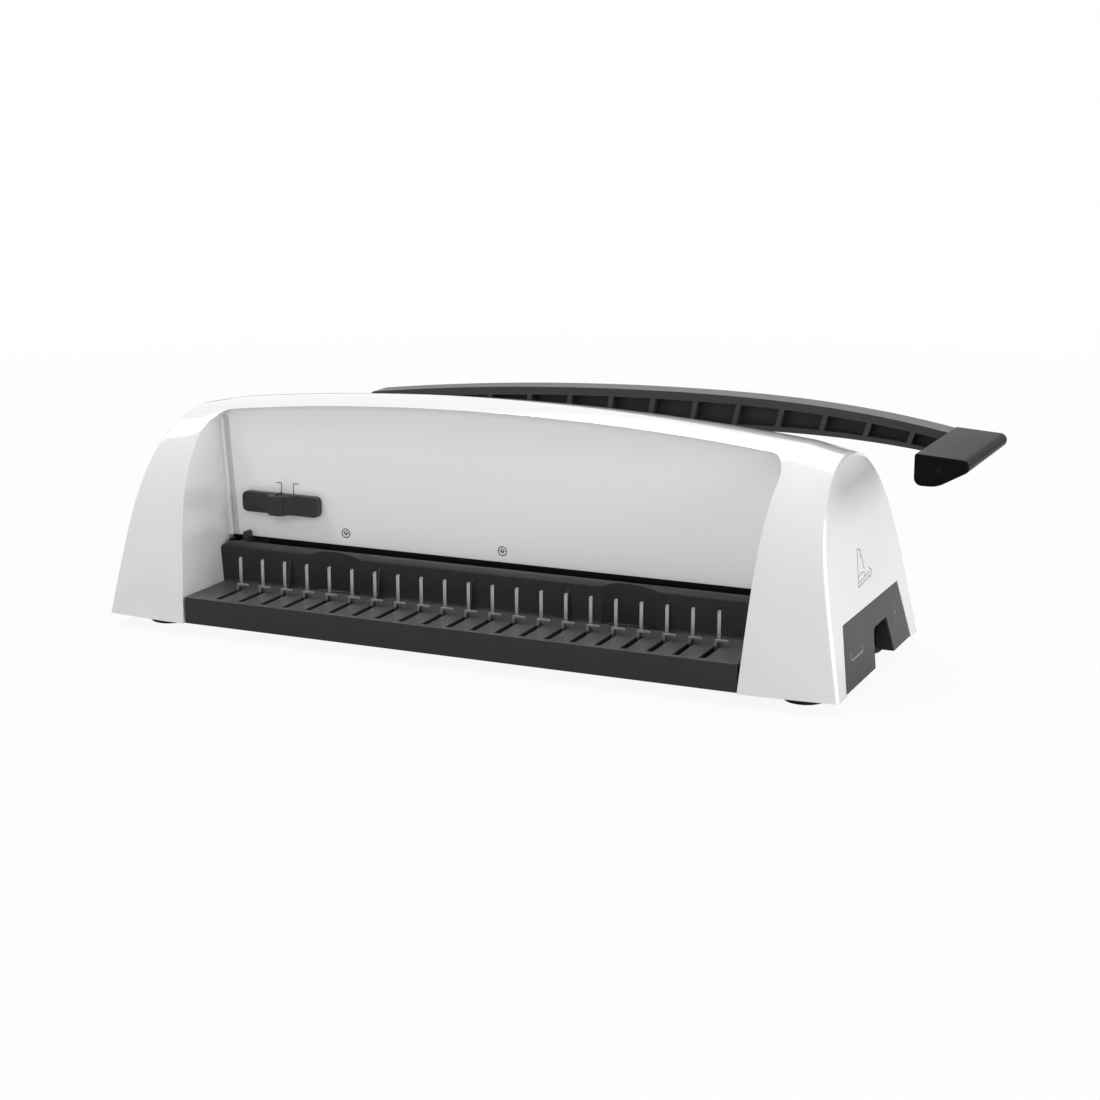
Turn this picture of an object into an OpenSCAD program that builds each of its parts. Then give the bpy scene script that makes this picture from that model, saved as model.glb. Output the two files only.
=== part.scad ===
// Comb binding machine: punches comb holes and opens a plastic comb, worked by one side lever.
// Millimetres. +X runs along the machine to the grip end, +Y to the back, +Z up.

/* [Body] */
// Half of the length at the bottom
half_w = 214.8; // [212:0.5:225]
// Depth of the body from its centre line to the front or back
half_d = 78.1; // [77:0.5:84]
// Height of the outer cover at its middle, above the base
cover_h = 125.2; // [122:0.5:132]
// Height that the cover's top drops towards its ends, for each square millimetre
arch_drop = 0.00033; // [0.00025:0.00001:0.0004]
// Inward lean of the end faces, in millimetres for each millimetre of height
end_lean = 0.187; // [0.16:0.005:0.2]
// Wall of the outer cover
cover_wall = 2.6; // [2:0.1:3]
// Height of the rubber feet below the base
foot_h = 7; // [4:0.2:8]
// Radius of a foot
foot_r = 12; // [8:0.5:12]
// Distance of the feet from the middle, along the machine
foot_x = 190; // [188.5:0.5:192]
// Distance of the feet from the middle, front to back
foot_y = 50; // [46:0.5:56]

/* [Recess and comb tray] */
// Half width of the recess at the bottom
recess_w = 163.1; // [161:0.2:166]
// Distance of the panel's face in front of the depth centre
panel_y = 20.6; // [20:0.1:22]
// Thickness of the panel
panel_t = 2; // [1.5:0.1:2.2]
// Height of the panel's lower edge
panel_low = 39.4; // [39:0.1:42]
// Height of the comb deck
deck_z = 14.9; // [13.5:0.1:17]
// Height of the comb tray's back wall
wall_top = 35.7; // [34.5:0.1:37.5]
// Wall of the comb tray
tray_wall = 2.2; // [1.8:0.1:2.4]
// How far the comb tray's skirt sits behind the body's front
skirt_inset = 1.6; // [1:0.1:3]

/* [Comb teeth] */
// Distance between two comb teeth
pitch = 14.2875; // [14.2:0.0125:14.3]
// Distance of the tines in front of the depth centre
tine_y = 48.3; // [47.5:0.1:49]
// Height of the tine tops
tine_top = 33.8; // [30:0.1:36]
// Width of a tine
tine_w = 2; // [1.6:0.1:2.4]
// Thickness of a tine
tine_t = 1.2; // [0.8:0.1:1.4]
// Length of a hook's foot
hook_len = 7; // [5:0.1:8]
// Height of the hooks above the deck
hook_rise = 3.4; // [2.6:0.1:5]
// Wire width of a hook
hook_w = 1.6; // [1.2:0.1:2]
// Thickness of the hook plate
hook_plate_t = 2; // [1.5:0.1:2.4]

/* [Punch] */
// Width of a punched hole
punch_w = 8; // [7.8:0.1:8.2]
// Height of a punched hole
punch_h = 3; // [2.8:0.1:3.2]
// Thickness of the die and stripper plates
plate_t = 3; // [2.5:0.1:3.2]
// Gap that the paper stands in
paper_gap = 3; // [2.6:0.1:3.2]
// Height of the punches above the base
punch_z = 29; // [28.8:0.1:29.2]
// Distance from the paper's edge to the middle of the holes
margin = 4.5; // [4:0.1:5]
// Radius of the guide rods
rod_r = 2.5; // [2:0.1:2.6]
// Distance of the guide rods from the middle
rod_x = 100; // [92:0.5:108]

/* [Lever and gear] */
// Distance of the lever's pivot to the left of the middle
pivot_x = 158; // [157:0.5:159]
// Height of the lever's pivot above the base
pivot_z = 66; // [65.5:0.1:67]
// Angle that the lever rises through
lever_up = 70; // [50:1:70]
// Radius of the pivot shaft
shaft_r = 5; // [4:0.1:5.5]
// Wall of the bush on the shaft
bush_wall = 3; // [2.5:0.1:3]
// Teeth on the whole gear
gear_teeth = 20; // [20:1:20]
// Gear module, the pitch diameter divided by the teeth
gear_module = 2; // [1.96:0.02:2.04]
// Height of the arm's highest point above the cover's
arm_rise = 5.9; // [5.5:0.1:9]
// Place of the arm's highest point
arm_peak_x = 95; // [85:1:105]
// Thickness of the arm, front to back
arm_t = 16; // [14:0.5:17]
// Distance of the arm's front face behind the depth centre
arm_y = 31.7; // [31:0.1:33]
// Right end of the arm, where the grip starts
arm_end = 237.5; // [234:0.5:242]
// Depth of the arm at its right end
arm_tip_d = 13; // [12:0.1:15]
// Growth of the arm's depth towards the pivot, for each millimetre
arm_taper = 0.049; // [0.04:0.001:0.055]
// Distance between the arm's ribs
rib_pitch = 24.5; // [20:0.5:30]
// Thickness of a rib
rib_t = 2.5; // [2:0.1:3.5]
// Height of the arm's upper rim
rim_top = 4.4; // [3.5:0.1:5]
// Height of the arm's lower rim
rim_low = 2.5; // [2:0.1:3.5]
// Depth of the pockets between the ribs
pocket_d = 9; // [6:0.5:11]

/* [Grip] */
// Length of the grip, front to back
grip_len = 83; // [70:1:90]
// Width of the grip
grip_w = 27.5; // [22:0.1:30]
// Height of the grip
grip_h = 16; // [15:0.1:18]

/* [Chip tray] */
// Distance from the left frame to the tray's inner end
chip_play = 11; // [7:1:25]
// Height of the tray
chip_h = 19; // [16:0.2:19.2]
// Wall of the tray
chip_wall = 1.6; // [1.2:0.1:2]
// Height of the end panel
end_panel_h = 33; // [32.5:0.1:36]
// Height of the finger notch
notch_h = 20; // [14:0.5:22]

/* [Selector] */
// Length of the selector's plate
knob_w = 49.8; // [44:0.1:54]
// Height of the selector's plate
knob_h = 11.7; // [11:0.1:13]
// Travel of the selector
select_travel = 7.9; // [6:0.1:8]

/* [Fits] */
// Gap between parts that move past each other
slide_gap = 0.3; // [0.25:0.01:0.4]
// Radial play of a shaft in its bush
run_gap = 0.05; // [0.02:0.01:0.08]

/* [Hidden] */
$fn = 48;
base_t = 2;
eps = 0.01;
deg = 180 / PI;
grip_reach = arm_end + grip_w;
// Frame: the object's own box is centred on the origin, and the feet stand on the floor
frame_x = (grip_reach - half_w) / 2;
module in_frame() translate([-frame_x, 0, foot_h]) children();

// ---- shape of the body: bells across the depth, joined along the length ----
bell_side = 0.145;
bell_power = 4.7;
bell_flat = 4.3;
lean_angle = atan(end_lean);
edge_top = 108;
edge_x = half_w - end_lean * edge_top;
edge_d = half_d - 3.3;
edge_h = cover_h - arch_drop * pow(edge_x, 2) - 1.8;
arch_end = half_w - 39.8;
function ridge(x) = cover_h - arch_drop * x * x;
function front_power(x) = bell_power + bell_flat * max(0, 1 - pow(x / 170, 2));
// Half depth of a bell at height z, for ridge height h and bottom half depth d
function bell(z, h, d, p) = (d - bell_side * z) * sqrt(max(0, 1 - pow(z / h, p)));
// Heights along a bell, close together near the ridge
function bell_z(i, n, h) = h * sin(90 * i / n);
// Height of a bell's surface at depth offset u, by halving
function bell_find(u, h, d, p, lo, hi, k) =
    k == 0 ? (lo + hi) / 2
    : bell((lo + hi) / 2, h, d, p) > u
        ? bell_find(u, h, d, p, (lo + hi) / 2, hi, k - 1)
        : bell_find(u, h, d, p, lo, (lo + hi) / 2, k - 1);
function front_z(x, u) = bell_find(u, ridge(x), half_d, front_power(x), 0, ridge(x), 20);
module bell_slice(h, d, front_p, stretch = 1) {
    n = 14;
    front = [for (i = [0:n]) [-bell(bell_z(i, n, h), h, d, front_p), bell_z(i, n, h) * stretch]];
    back = [for (i = [n - 1:-1:0]) [bell(bell_z(i, n, h), h, d, bell_power), bell_z(i, n, h) * stretch]];
    rotate([90, 0, 90]) linear_extrude(eps) polygon(concat(front, back));
}
// The closed outer form, or the same form set in by a wall
module body_form(inset) {
    hull() {
        for (x = [-arch_end:arch_end / 7:arch_end])
            translate([x, 0, 0]) bell_slice(ridge(x) - inset, half_d - inset, front_power(x));
        for (s = [-1, 1]) {
            translate([s * (edge_x - 6 - inset), 0, 0])
                bell_slice(edge_h + 1.4 - inset, half_d - 1.2 - inset, bell_power);
            translate([s * (half_w - inset), 0, 0]) rotate([0, -s * lean_angle, 0])
                bell_slice(edge_h - inset, edge_d - inset, bell_power, 1 / cos(lean_angle));
        }
    }
}

// ---- the front recess ----
recess_lean = 0.065;
recess_corner = 9;
recess_lip = 1;
recess_side = recess_w + recess_lean * 112;
function corner_drop(x) =
    let (over = max(0, abs(x) - (recess_side - recess_corner)))
    recess_corner - sqrt(max(0, pow(recess_corner, 2) - over * over));
function recess_top(x) = front_z(min(abs(x), recess_side - 1), panel_y) - recess_lip - corner_drop(x);
module recess_shape(grow, bottom) {
    n = 40;
    reach = recess_side + grow;
    top = [for (i = [-n:n])
        let (x = recess_side * sin(90 * i / n)) [x * reach / recess_side, recess_top(x) + grow]];
    low_w = recess_w + (recess_side - recess_w) * bottom / recess_top(recess_side) + grow;
    polygon(concat([[low_w, bottom]], [for (i = [2 * n:-1:0]) top[i]], [[-low_w, bottom]]));
}
module along_y(y0, y1) translate([0, y1, 0]) rotate([90, 0, 0]) linear_extrude(y1 - y0) children();
module along_x(x0, x1) translate([x0, 0, 0]) rotate([90, 0, 90]) linear_extrude(x1 - x0) children();
module block(x, y, z) translate([x[0], y[0], z[0]]) cube([x[1] - x[0], y[1] - y[0], z[1] - z[0]]);

// ---- the lever's arm, and the channel that it lies in ----
arm_peak = cover_h + arm_rise;
arm_bend = 0.00032;
arm_bend_end = 0.0000017;
neck_x = -100;
hub_r = 15;
arm_back = arm_y + arm_t;
function arm_top(x) = arm_peak - arm_bend * pow(x - arm_peak_x, 2)
    - arm_bend_end * pow(max(0, x - arm_peak_x), 3);
function arm_depth(x) = arm_tip_d + arm_taper * max(0, arm_end - 14 - x);
function arm_low(x) = arm_top(x) - arm_depth(x);
// Point where a line from p touches a circle about c, on the side that s names
function touch(p, c, r, s) =
    let (d = norm(p - c), a = atan2(p[1] - c[1], p[0] - c[0]) + s * acos(r / d))
    [c[0] + r * cos(a), c[1] + r * sin(a)];
channel_gap = 2.5;
channel_y = arm_y - 1.5;
channel_left = -pivot_x - 27;
well_right = neck_x + 3;
module channel_shape(grow) {
    right = 165;
    step = (right - well_right) / 12;
    low = [for (x = [well_right:step:right]) [x, arm_low(max(x, neck_x)) - channel_gap - grow]];
    polygon(concat([[channel_left - grow, low[0][1]]], low, [[right, 160], [channel_left - grow, 160]]));
}

// ---- places of the punch works ----
gap_front = -panel_y - paper_gap;
die_y = [gap_front - plate_t, gap_front];
strip_y = [-panel_y, -panel_y + plate_t];
frame_in = recess_w - 2.1;
frame_t = 2;
bar_half = frame_in - 11;
bar_y = [2, 12];
bar_z = [23, 37];
cam_z = [39, 42];
gear_r = gear_module * gear_teeth / 2;
cam_travel = gear_r * lever_up / deg;
punch_travel = 8.8;
hook_travel = 20;
beam_y = [34, 42];
beam_z = [30.8, cam_z[0] - slide_gap];
rod_z = punch_z + 1.2 + 0.3 + rod_r;
follower_r = 3;
follower_x = [-120, 0, 120];
follower_y = 18;
hook_drive = [-frame_in + 4.5, 25];
arm_half = follower_r + 0.3;
end_in = half_w - 10.8;
chip_x = [-frame_in + chip_play, end_in];
chip_y = [-panel_y + panel_t + 1.2, 46];
chip_lip = 12;
chip_z = [base_t + 0.4, base_t + 0.4 + chip_h];
half_teeth = floor((bar_half - punch_w / 2) / pitch);
teeth = 2 * half_teeth + 1;
tine_xs = [for (i = [0:teeth - 1]) (i - (teeth - 1) / 2) * pitch];

// ---- comb tray and floor ----
skirt_y = -half_d + skirt_inset;
wall_y = -33.6;
ledge_back = gap_front - plate_t - 2.2;
bay = [71, 107];
bay_plan = [[0, -1], [0, 0], [5, 2.9], [9, 3.7], [15, 3.8], [22, 3.2], [28, 2], [32, 0.8], [32, -1]];
// Half width of the recess at height z, less a small gap
function recess_x(z) = recess_w + (recess_side - recess_w) * z / recess_top(recess_side) - 0.3;
slot_end = skirt_y + 3.7;
ledge_top = wall_top + 2.2;
hook_x = -0.9;
floor_x = half_w - cover_wall - 0.5;
floor_y = edge_d - cover_wall;
boss_x = recess_w + 9.9;
boss_y = half_d - 12.1;

// ---- chip tray and its end panel ----
end_half = 60.8;
end_slope = 0.318;
notch_front = -7.2;
notch_back = 28.1;

// ---- sliding plate, gear and hub ----
stud_x = [-105, 118];
stud_y = (beam_y[0] + beam_y[1]) / 2;
tooth_add = 0.8 * gear_module;
tooth_ded = 1.1 * gear_module;
tooth_play = 0.39;
pressure = 20;
gear_y = [32, 39.5];
base_r = gear_r * cos(pressure);
function inv(r) = let (a = acos(min(1, base_r / r))) tan(a) * deg - a;
tooth_half = (PI * gear_module / 2 - tooth_play) / 2 / gear_r * deg;
function flank(r) = tooth_half + inv(gear_r) - inv(max(r, base_r));
function polar(r, a) = [r * cos(a), r * sin(a)];
tip_r = gear_r + tooth_add;
root_r = gear_r - tooth_ded;
flank_rs = [root_r, base_r, base_r + 0.6, gear_r, gear_r + tooth_add / 2, tip_r];
ear_front = [-5, -2];
ear_back = [51, 54];

// ---- grip ----
tongue = [[arm_end, arm_end + 12], [arm_y + 3, arm_back - 4],
    [arm_top(arm_end) - 12.2, arm_top(arm_end) - 4.2]];
grip_top = arm_top(arm_end) + 0.6;
grip_front = arm_back - grip_len;
screw_x = arm_end + 12;
screw_z = grip_top - 7.4;
function arc(c, r, a0, a1, n) =
    [for (i = [0:n]) [c[0] + r * cos(a0 + (a1 - a0) * i / n), c[1] + r * sin(a0 + (a1 - a0) * i / n)]];

// ---- comb opener and selector ----
hook_y = [-tine_y - tine_t / 2 - 0.6 - 1.4, -tine_y - tine_t / 2 - 0.6];
plate_z = [base_t + slide_gap, base_t + slide_gap + hook_plate_t];
bar_top = deck_z - tray_wall;
knob_x = -recess_w + 32.6;
knob_z = 60.4;
ridge_x = knob_x - 0.1;
stem_x = [knob_x - 3, knob_x + 4];
stem_z = [58.2, 62.6];
guide_x = [-frame_in + 6.1, -frame_in + 9.5];
guide_z = ledge_top + 0.3;
link_y = [-panel_y + panel_t + 1.4, -panel_y + panel_t + 3.4];
foot_front = ledge_back + 0.3;
peg_y = [ledge_back + 2.2, -panel_y - 0.8];

// ---- outer shell, panel and tray ----
module outer_cover() {
    color("white") in_frame() difference() {
        union() {
            difference() {
                body_form(0);
                difference() {
                    body_form(cover_wall);
                    along_y(-half_d - 9, -panel_y + panel_t) recess_shape(cover_wall, -cover_wall);
                    along_y(channel_y - cover_wall, half_d + 9) channel_shape(cover_wall);
                }
                // the bottom is open
                block([-floor_x, floor_x], [-floor_y, floor_y], [-1, base_t]);
            }
            // bosses for the cover screws
            for (sx = [-1, 1], sy = [-1, 1])
                block([sx * boss_x - 5, sx * boss_x + 5],
                    [sy > 0 ? boss_y - 5 : -boss_y - 9, sy > 0 ? boss_y + 9 : -boss_y + 5],
                    [base_t, base_t + 18]);
        }
        along_y(-half_d - 9, -panel_y + panel_t) recess_shape(0, -1);
        along_y(channel_y, half_d + 9) channel_shape(0);
        // well that the lever's hub stands in
        block([channel_left, well_right], [channel_y, arm_back + 1.5], [40, 160]);
        // mouth of the chip tray
        along_x(half_w - 14, half_w + 5) end_shape(0.5, -1);
        for (sx = [-1, 1], sy = [-1, 1])
            translate([sx * boss_x, sy * boss_y, base_t - 1]) cylinder(r = 1.75, h = 16);
    }
}

module front_panel() {
    color("gainsboro") in_frame() difference() {
        along_y(-panel_y, -panel_y + panel_t) recess_shape(0, panel_low);
        // slot that the selector's stem slides in
        block([stem_x[0] - 2, stem_x[1] + select_travel + 2], [-panel_y - 1, 0],
            [stem_z[0] - 0.8, stem_z[1] + 0.8]);
    }
}

// Back wall from the end: its ledge rises to the paper slot behind an edge cut back by c
module ledge_profile(c)
    polygon([[wall_y, 0], [ledge_back, 0], [ledge_back, ledge_top],
        [wall_y + c, wall_top + 0.8 * c - 0.4], [wall_y, wall_top - 0.4]]);
module comb_tray() {
    side = recess_w - 0.5;
    under = deck_z - tray_wall;
    color("dimgray") in_frame() difference() {
        union() {
            block([-side, side], [skirt_y, wall_y + tray_wall], [deck_z - tray_wall, deck_z]);
            block([-side, side], [skirt_y, skirt_y + tray_wall], [0, deck_z]);
            for (s = [-1, 1])
                block([s > 0 ? side - tray_wall : -side, s > 0 ? side : -side + tray_wall],
                    [skirt_y, wall_y], [base_t, deck_z]);
            // back wall with its ledge, and two bays set back
            difference() {
                intersection() {
                    along_y(wall_y, ledge_back)
                        polygon([[-recess_x(under), under], [recess_x(under), under],
                            [recess_x(ledge_top), ledge_top], [-recess_x(ledge_top), ledge_top]]);
                    union() {
                        along_x(-recess_w - 9, recess_w + 9) ledge_profile(0.8);
                        along_x(1 - bay[0], bay[0] - 1) ledge_profile(2.2);
                    }
                }
                for (x = [-bay[1], bay[0]]) translate([x, wall_y, deck_z])
                    linear_extrude(wall_top) polygon(bay_plan);
                // hollow behind the wall, under the ledge
                for (x = [[2 - side, -bay[1] - 2], [-bay[0] + 2, bay[0] - 2],
                        [bay[1] + 2, side - 2]])
                    block(x, [wall_y + tray_wall, ledge_back + 1], [0, wall_top - tray_wall]);
            }
            // fins on the wall
            for (i = [2, 6, 10, 14, 18])
                block([tine_xs[i] - 5.4, tine_xs[i] - 4.4], [wall_y - 3.2, wall_y + 0.5],
                    [deck_z - 0.5, deck_z + 13]);
        }
        for (x = tine_xs) {
            block([x + hook_x - hook_w / 2 - 0.4, x + hook_x + hook_w / 2 + 1.5],
                [slot_end, -tine_y + 0.9], [0, deck_z + 1]);
            block([x - tine_w / 2 - 0.3, x + tine_w / 2 + 0.3],
                [-tine_y - tine_t / 2 - 0.3, -tine_y + tine_t / 2 + 0.3], [0, deck_z + 1]);
        }
    }
}

module base_plate() {
    color("dimgray") in_frame() difference() {
        block([-floor_x + 0.3, floor_x - 0.3], [-floor_y + 0.3, floor_y - 0.3], [0, base_t]);
        block([end_in - 0.6, half_w], [-end_half - 1, end_half + 1], [-1, base_t + 1]);
        for (sx = [-1, 1], sy = [-1, 1])
            translate([sx * boss_x, sy * boss_y, -1]) cylinder(r = 1.75, h = base_t + 2);
    }
}

module feet() {
    color([0.08, 0.08, 0.08]) in_frame() for (sx = [-1, 1], sy = [-1, 1])
        translate([sx * foot_x, sy * foot_y, -foot_h]) {
            cylinder(r1 = foot_r - 1.2, r2 = foot_r, h = 1.2);
            translate([0, 0, 1.2]) cylinder(r = foot_r, h = foot_h - 1.2);
        }
}

module cover_screws() {
    color("silver") in_frame() for (sx = [-1, 1], sy = [-1, 1])
        translate([sx * boss_x, sy * boss_y, 0]) {
            translate([0, 0, -1.6]) cylinder(r = 3.2, h = 1.6);
            cylinder(r = 1.7, h = base_t + 12);
        }
}

// ---- chip tray ----
module end_shape(grow, low) {
    top = end_panel_h + grow;
    polygon([[-end_half - grow, low], [end_half + grow, low],
        [end_half - end_slope * top + grow, top], [-end_half + end_slope * top - grow, top]]);
}
module chip_tray() {
    pocket = 18;
    color("dimgray") in_frame() difference() {
        block(chip_x, chip_y, chip_z);
        block([chip_x[0] + chip_wall, chip_x[1] - pocket - chip_wall],
            [chip_y[0] + chip_wall, chip_y[1] - chip_wall], [chip_z[0] + chip_wall, chip_z[1] + 1]);
        // the front wall is low, so that chips slide in over it
        block([chip_x[0] + chip_wall, frame_in], [chip_y[0] - 1, chip_y[0] + chip_wall + 1],
            [chip_lip, chip_z[1] + 1]);
        // finger pocket behind the notch
        block([chip_x[1] - pocket, chip_x[1] + 1], [notch_front - 2, notch_back + 2],
            [chip_z[0] - 1, chip_z[1] + 1]);
    }
}
module chip_tray_panel() {
    color("dimgray") in_frame() difference() {
        along_x(end_in, half_w + 1) end_shape(0, 0.2);
        // outer face leans with the cover's end
        translate([half_w - 0.2, 0, 0]) rotate([0, -lean_angle, 0])
            translate([0, -half_d, -40]) cube([40, 2 * half_d, 120]);
        along_x(end_in - 1, half_w + 2)
            polygon([[notch_front, -1], [notch_front + 5.3, notch_h - 3.4],
                [notch_front + 6.8, notch_h - 0.9],
                [notch_front + 9.4, notch_h], [notch_back - 5.2, notch_h],
                [notch_back, -1]]);
    }
}

// ---- frames and punch works ----
module side_frame(x0, back) {
    block([x0, x0 + frame_t], [ledge_back + 0.3, back], [base_t, cam_z[0] - 1]);
}
module left_frame() {
    color("silver") in_frame() side_frame(-frame_in - frame_t, 50);
}
module right_frame() {
    color("silver") in_frame() difference() {
        side_frame(frame_in, 60);
        // window that the chip tray slides through
        block([frame_in - 1, frame_in + frame_t + 1], [chip_y[0] - 0.7, chip_y[1] + 0.7],
            [base_t - 1, chip_z[1] + 0.5]);
    }
}
module chip_chute() {
    low = chip_lip + 1;
    y = [ledge_back + 0.6, chip_y[0] - 0.8];
    color("silver") in_frame() along_x(-frame_in, frame_in)
        polygon([[y[0], 21.8], [y[0], 20.2], [y[1], low], [y[1], low + 1.6]]);
}
module punch_holes(y, w, h) {
    for (x = tine_xs)
        block([x - w / 2, x + w / 2], y, [punch_z - h / 2, punch_z + h / 2]);
}
module die_plate() {
    color("silver") in_frame() difference() {
        block([-frame_in, frame_in], die_y, [22, 34]);
        punch_holes([die_y[0] - 1, die_y[1] + 1], punch_w, punch_h);
    }
}
module stripper_plate() {
    color("silver") in_frame() difference() {
        block([-frame_in, frame_in], strip_y, [22, panel_low - 0.5]);
        punch_holes([strip_y[0] - 1, strip_y[1] + 1], punch_w, punch_h);
        // notch that the edge guide's foot slides in
        block([guide_x[0] - 3, guide_x[1] + select_travel + 3], [strip_y[0] - 1, strip_y[1] + 1],
            [34.3, panel_low + 1]);
    }
}
module paper_stop() {
    color("silver") in_frame()
        block([-frame_in, frame_in], [gap_front, -panel_y], [22, punch_z - margin]);
}
module guide_rods() {
    color("silver") in_frame() for (s = [-1, 1])
        translate([s * rod_x, strip_y[1], rod_z]) rotate([-90, 0, 0])
            cylinder(r = rod_r, h = beam_y[0] - strip_y[1]);
}
module slide_beam() {
    color("silver") in_frame() block([-frame_in, frame_in], beam_y, beam_z);
}
module guide_studs() {
    color("silver") in_frame() for (x = stud_x) translate([x, stud_y, beam_z[1]]) {
        cylinder(r = 3, h = cam_z[1] + slide_gap - beam_z[1]);
        translate([0, 0, cam_z[1] + slide_gap - beam_z[1]]) cylinder(r = 5, h = 1.6);
    }
}
// Slot of a follower: from its rest place, back along the plate by the cam's travel
module cam_slot(x, y, dy) {
    p = [x, y];
    q = [x - cam_travel, y + dy];
    a = atan2(p[1] - q[1], p[0] - q[0]);
    polygon(concat(arc(p, follower_r + 0.1, a - 90, a + 90, 12),
        arc(q, follower_r + 0.1, a + 90, a + 270, 12)));
}
module cam_plate() {
    left = -196;
    shoulder = -140;
    color("silver") in_frame() translate([0, 0, cam_z[0]]) linear_extrude(cam_z[1] - cam_z[0])
        difference() {
            polygon([[left, 0], [shoulder, 0], [shoulder, 13], [140, 13], [140, 44], [left, 44]]);
            for (x = follower_x) cam_slot(x, follower_y, punch_travel);
            cam_slot(hook_drive[0], hook_drive[1], -hook_travel);
            for (x = stud_x) cam_slot(x, stud_y, 0);
        }
}
module rack() {
    p = PI * gear_module;
    pitch_z = pivot_z - gear_r;
    half = (p / 2 - tooth_play) / 2;
    lean = tan(pressure);
    low = pitch_z - tooth_ded;
    color("silver") in_frame() union() {
        block([-pivot_x - 32, -pivot_x + 13], [32.5, 39], [cam_z[1], low]);
        for (k = [-5:1]) translate([-pivot_x + (k + 0.5) * p, 0, 0]) along_y(32.5, 39)
            polygon([[-half - tooth_ded * lean, low - eps], [half + tooth_ded * lean, low - eps],
                [half - tooth_add * lean, pitch_z + tooth_add],
                [-half + tooth_add * lean, pitch_z + tooth_add]]);
    }
}

// ---- gear, lever and grip ----
module sector_gear() {
    step = 360 / gear_teeth;
    n = len(flank_rs) - 1;
    color("silver") in_frame() translate([-pivot_x, 0, pivot_z]) difference() {
        along_y(gear_y[0], gear_y[1]) union() {
            circle(r = hub_r - 2);
            intersection() {
                polygon([for (k = [0:gear_teeth - 1]) each concat(
                    [for (i = [0:n]) polar(flank_rs[i], -90 + k * step - flank(flank_rs[i]))],
                    [for (i = [n:-1:0]) polar(flank_rs[i], -90 + k * step + flank(flank_rs[i]))])]);
                // only the toothed sector is left
                polygon(concat([[0, 0]], [for (a = [-207:13:-45]) polar(30, a)]));
            }
        }
        along_y(gear_y[0] - 1, gear_y[1] + 1) circle(r = shaft_r + bush_wall);
    }
}
module tube(y0, y1, r_in, r_out)
    translate([-pivot_x, y1, pivot_z]) rotate([90, 0, 0]) difference() {
        cylinder(r = r_out, h = y1 - y0);
        translate([0, 0, -1]) cylinder(r = r_in, h = y1 - y0 + 2);
    }
module hub_bush() {
    color("goldenrod") in_frame()
        tube(gear_y[0], arm_back, shaft_r + run_gap, shaft_r + bush_wall);
}
function rib_x(x, z) = x + (z - arm_peak + 11) * (x + 90) / 890;
module arm_pocket(a, b) {
    ts = [0, 0.25, 0.5, 0.75, 1];
    low = [for (t = ts) let (x = a + (b - a) * t, z = arm_low(x) + rim_low) [rib_x(x, z), z]];
    top = [for (i = [4:-1:0]) let (x = a + (b - a) * ts[i], z = arm_top(x) - rim_top)
        [rib_x(x, z), arm_top(rib_x(x, z)) - rim_top]];
    polygon(concat(low, top));
}
module arm_outline() {
    n = 30;
    hub = [-pivot_x, pivot_z];
    xs = [for (i = [0:n]) neck_x + (arm_end - neck_x) * i / n];
    polygon(concat([for (x = xs) [x, arm_top(x)]], [for (i = [n:-1:0]) [xs[i], arm_low(xs[i])]]));
    polygon([touch([neck_x, arm_top(neck_x)], hub, hub_r, 1), [neck_x + eps, arm_top(neck_x)],
        [neck_x + eps, arm_low(neck_x)], touch([neck_x, arm_low(neck_x)], hub, hub_r, -1)]);
}
module handle_arm() {
    first = -1 - 4 * rib_pitch;
    color("dimgray") in_frame() difference() {
        union() {
            along_y(arm_y, arm_back) arm_outline();
            along_y(gear_y[1], arm_back) translate([-pivot_x, pivot_z]) circle(r = hub_r);
            block([tongue[0][0] - 1, tongue[0][1]], tongue[1], tongue[2]);
        }
        for (k = [0:13]) {
            a = first + k * rib_pitch + rib_t / 2;
            b = min(first + (k + 1) * rib_pitch - rib_t / 2, arm_end - 3.5);
            along_y(arm_y - 1, arm_y + pocket_d) arm_pocket(a, b);
        }
        // room for the gear in front of the hub
        along_y(arm_y - 1, gear_y[1]) translate([-pivot_x, pivot_z]) circle(r = tip_r + 0.8);
        along_y(arm_y - 1, arm_back + 1) translate([-pivot_x, pivot_z])
            circle(r = shaft_r + bush_wall);
    }
}
module grip_outline() {
    l = arm_end;
    t = grip_top;
    nose = 3.6;
    slope = 1.5;
    polygon(concat(
        arc([l + 1.2, t - 1.2], 1.2, 180, 86, 3),
        arc([l + grip_w - nose, t - slope - nose], nose, 86, -58, 9),
        arc([l + 8, t - grip_h + 14], 14, -58, -90, 5),
        arc([l + 4, t - grip_h + 4], 4, -90, -180, 5)));
}
module handle_grip() {
    color([0.16, 0.16, 0.15]) in_frame() difference() {
        along_y(grip_front, arm_back) grip_outline();
        block(tongue[0], tongue[1], tongue[2]);
        translate([screw_x, grip_front - 1, screw_z]) rotate([-90, 0, 0]) cylinder(r = 1.5, h = 17);
    }
}
module grip_screw() {
    color("silver") in_frame() translate([screw_x, grip_front + 0.8, screw_z]) rotate([-90, 0, 0])
        difference() {
            cylinder(r = 1.5, h = 14);
            translate([-1, -0.25, -1]) cube([2, 0.5, 1.5]);
        }
}

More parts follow.
